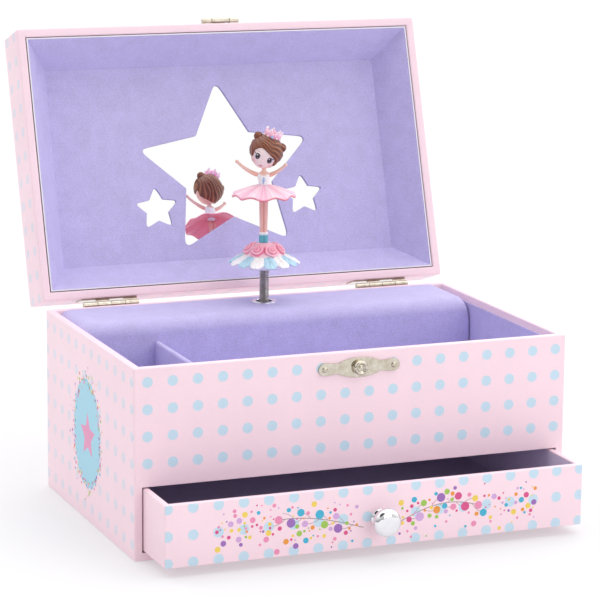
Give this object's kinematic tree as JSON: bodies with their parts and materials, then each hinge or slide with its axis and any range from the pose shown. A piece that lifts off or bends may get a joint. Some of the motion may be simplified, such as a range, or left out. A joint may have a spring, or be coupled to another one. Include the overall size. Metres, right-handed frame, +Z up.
{
  "type": "ballerina jewellery box",
  "caption": "Musical jewellery box with hinged mirror lid, pull-out drawer, lined compartments and a turning dancer on a spring over a wind-up movement.",
  "frame": {"origin": "centre of the case's underside", "axes": "+X to the right along the long side, +Y to the hinged back, +Z up"},
  "size_m": [0.24, 0.2753, 0.2501],
  "materials": {
    "pink_dotted_paper": "pale pink printed paper over board, with small pale blue dots in a square grid, satin",
    "lavender_flock": "short lavender flock, matt with a soft sheen",
    "violet_paper": "pale violet paper, matt",
    "mirror": "silvered acrylic mirror",
    "chrome": "bright chrome plate",
    "nickel": "warm nickel plate, slightly tarnished",
    "steel": "oiled spring steel",
    "brass": "plain brass",
    "moulded_plastic": "off-white moulded plastic",
    "doll_skin": "hand-painted moulded plastic, peach skin, white bodice, turquoise shoes",
    "doll_hair": "painted chestnut hair with combed strands",
    "doll_tutu": "pink moulded tutu, deeper pink below",
    "doll_rosette": "blue and white ruffle under pink roses",
    "doll_crown": "pink crown with pearly tips"
  },
  "bodies": {
    "case": {"base_board": "pink_dotted_paper", "left_wall": "pink_dotted_paper", "right_wall": "pink_dotted_paper", "back_wall": "pink_dotted_paper", "front_panel": "pink_dotted_paper", "drawer_bay_shelf": "pink_dotted_paper", "floor_lining": "lavender_flock", "left_lining": "lavender_flock", "right_lining": "lavender_flock", "front_lining": "lavender_flock", "movement_cover": "lavender_flock", "spindle_bush": "chrome", "divider": "lavender_flock", "latch_plate": "nickel", "latch_boss": "nickel", "hinge_lower_leaf_left": "nickel", "hinge_lower_leaf_right": "nickel", "hinge_pin_left": "nickel", "hinge_pin_right": "nickel", "movement_bedplate": "brass", "mainspring_barrel": "brass", "mainspring": "steel", "comb": "steel", "movement_bridge": "brass", "spindle_bearing": "brass"},
    "lid": {"lid_top_panel": "pink_dotted_paper", "lid_left_wall": "pink_dotted_paper", "lid_right_wall": "pink_dotted_paper", "lid_front_wall": "pink_dotted_paper", "lid_back_wall": "pink_dotted_paper", "lid_lining_front": "lavender_flock", "lid_lining_right": "lavender_flock", "lid_lining_back": "lavender_flock", "lid_lining_left": "lavender_flock", "star_panel": "lavender_flock", "mirror": "mirror", "hinge_upper_leaf_left": "nickel", "hinge_upper_leaf_right": "nickel", "hasp_plate": "nickel", "hasp_pin": "nickel"},
    "hasp": {"hasp_tongue": "nickel"},
    "drawer": {"drawer_front": "pink_dotted_paper", "drawer_left_side": "pink_dotted_paper", "drawer_right_side": "pink_dotted_paper", "drawer_back": "pink_dotted_paper", "drawer_bottom": "pink_dotted_paper", "drawer_floor_lining": "violet_paper", "drawer_knob": "chrome", "knob_screw": "steel"},
    "cylinder": {"pinned_cylinder": "brass"},
    "spindle": {"spindle": "brass"},
    "governor": {"governor_fan": "moulded_plastic"},
    "winding": {"crown_wheel_and_arbor": "brass", "winding_key": "nickel"},
    "figure_stem": {"spring": "steel"},
    "figure": {"rosette": "doll_rosette", "dancer": "doll_skin", "tutu": "doll_tutu", "hair": "doll_hair", "crown": "doll_crown"}
  },
  "joints": [
    {"name": "lid_hinge", "type": "hinge", "parent": "case", "child": "lid", "pos_m": [0, 0.0798, 0.0995], "axis": [1, 0, 0], "range_deg": [0, 107.9]},
    {"name": "hasp_swing", "type": "hinge", "parent": "lid", "child": "hasp", "pos_m": [0.0012, 0.13179, 0.24874], "axis": [1, 0, 0], "range_deg": [0, 180]},
    {"name": "drawer_slide", "type": "slide", "parent": "case", "child": "drawer", "axis": [0, -1, 0], "range_m": [-0.0325, 0.0675]},
    {"name": "cylinder_turn", "type": "hinge", "parent": "case", "child": "cylinder", "pos_m": [0.01621, 0.04488, 0.0764], "axis": [0, 0, 1], "continuous": true},
    {"name": "spindle_turn", "type": "hinge", "parent": "case", "child": "spindle", "pos_m": [0.0003, 0.057, 0.0764], "axis": [0, 0, 1], "continuous": true},
    {"name": "governor_turn", "type": "hinge", "parent": "case", "child": "governor", "pos_m": [0.02587, 0.05358, 0.0764], "axis": [0, 0, 1], "continuous": true},
    {"name": "winding_turn", "type": "hinge", "parent": "case", "child": "winding", "pos_m": [0.01621, 0.076, 0.062], "axis": [0, 1, 0], "continuous": true},
    {"name": "figure_fold", "type": "hinge", "parent": "case", "child": "figure_stem", "pos_m": [0.0003, 0.057, 0.0888], "axis": [1, 0, 0], "range_deg": [0, 90], "deforming": ["spring"]},
    {"name": "figure_turn", "type": "hinge", "parent": "figure_stem", "child": "figure", "pos_m": [0.0003, 0.057, 0.0888], "axis": [0, 0, 1], "continuous": true}
  ],
  "couplings": [
    {"joint": "figure_fold", "follows": "lid_hinge", "ratio": 0.83411},
    {"joint": "spindle_turn", "follows": "cylinder_turn", "ratio": -1},
    {"joint": "figure_turn", "follows": "cylinder_turn", "ratio": -1},
    {"joint": "governor_turn", "follows": "cylinder_turn", "ratio": -3.3333},
    {"joint": "winding_turn", "follows": "cylinder_turn", "ratio": -0.36364}
  ]
}
